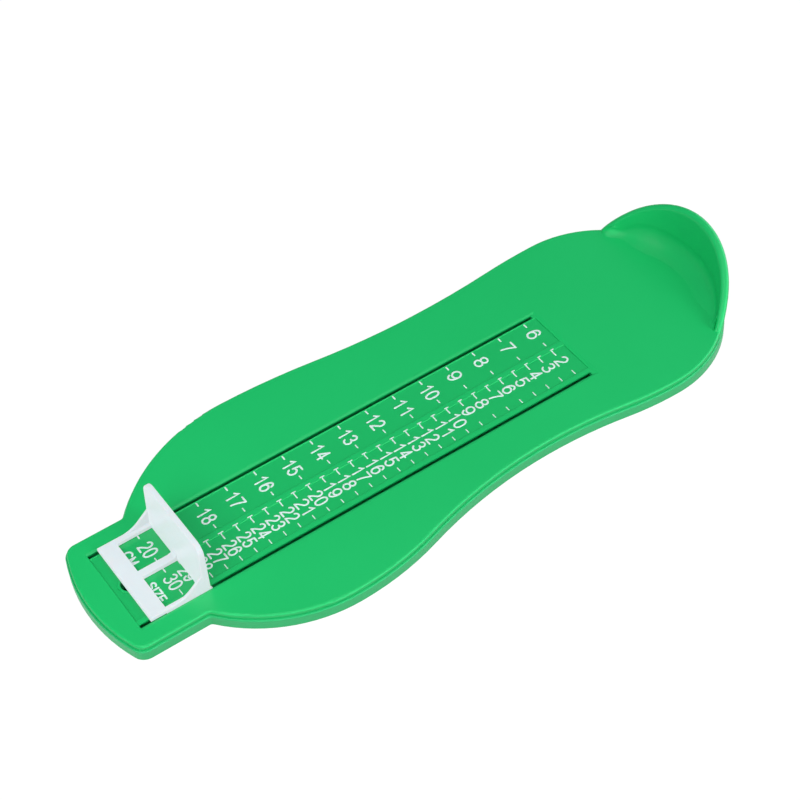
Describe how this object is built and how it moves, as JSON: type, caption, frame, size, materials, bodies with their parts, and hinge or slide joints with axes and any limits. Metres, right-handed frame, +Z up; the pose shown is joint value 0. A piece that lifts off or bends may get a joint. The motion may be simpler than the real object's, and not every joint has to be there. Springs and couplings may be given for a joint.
{
  "type": "foot measuring device",
  "caption": "Flat foot-shaped gauge with a raised heel cup, a sunk length scale between two slots, and a sliding toe stop with two reading windows.",
  "frame": {"origin": "middle of the base's length and width, on the face that it stands on", "axes": "+X along the base from the heel cup to the toe end, +Y to the inner side of the foot, +Z up out of the deck"},
  "size_m": [0.2274, 0.086, 0.0235],
  "materials": {
    "deck_green": "satin moulded green plastic with white printed ticks and numbers on the sunk scale",
    "frame_green": "satin moulded green plastic, a little greyer than the deck",
    "slider_white": "satin moulded white plastic with a faint blue cast"
  },
  "bodies": {
    "base": {"deck_shell": "deck_green", "under_frame": "frame_green"},
    "slider": {"slider_saddle": "slider_white", "slider_keeper": "slider_white"}
  },
  "joints": [
    {"name": "slider_travel", "type": "slide", "parent": "base", "child": "slider", "axis": [1, 0, 0], "range_m": [-0.136, 0.003]}
  ]
}
